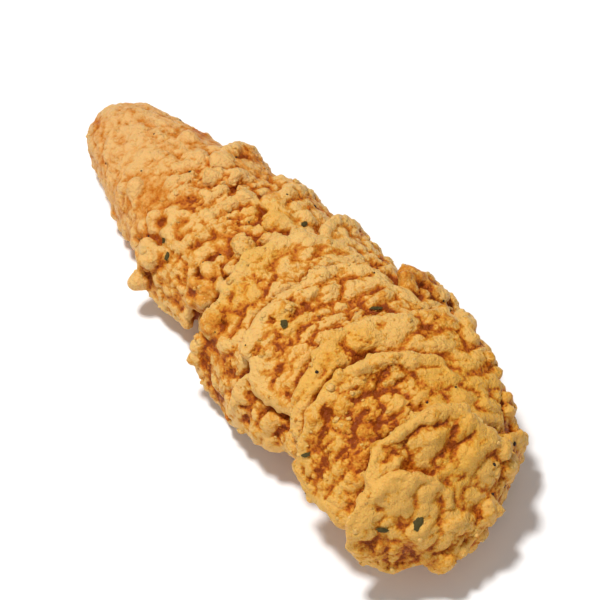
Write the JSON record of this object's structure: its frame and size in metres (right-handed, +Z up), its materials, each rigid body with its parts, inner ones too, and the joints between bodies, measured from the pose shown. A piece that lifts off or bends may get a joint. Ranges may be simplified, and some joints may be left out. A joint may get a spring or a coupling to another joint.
{
  "type": "chicken tender",
  "caption": "Tapered strip of fried chicken in a craggy, scalloped crust, lying flat, from a narrow smooth tip to a broad folded end.",
  "frame": {"origin": "under the middle of the tender's box, on the surface that it rests on", "axes": "+X along the strip from its narrow tip to its broad end, +Z up, away from the surface that it rests on"},
  "size_m": [0.1264, 0.0504, 0.0314],
  "materials": {
    "crust": "rough, dry golden-brown fried crust with a faint oily sheen"
  },
  "bodies": {
    "root": {"chicken_tender": "crust"}
  },
  "joints": []
}
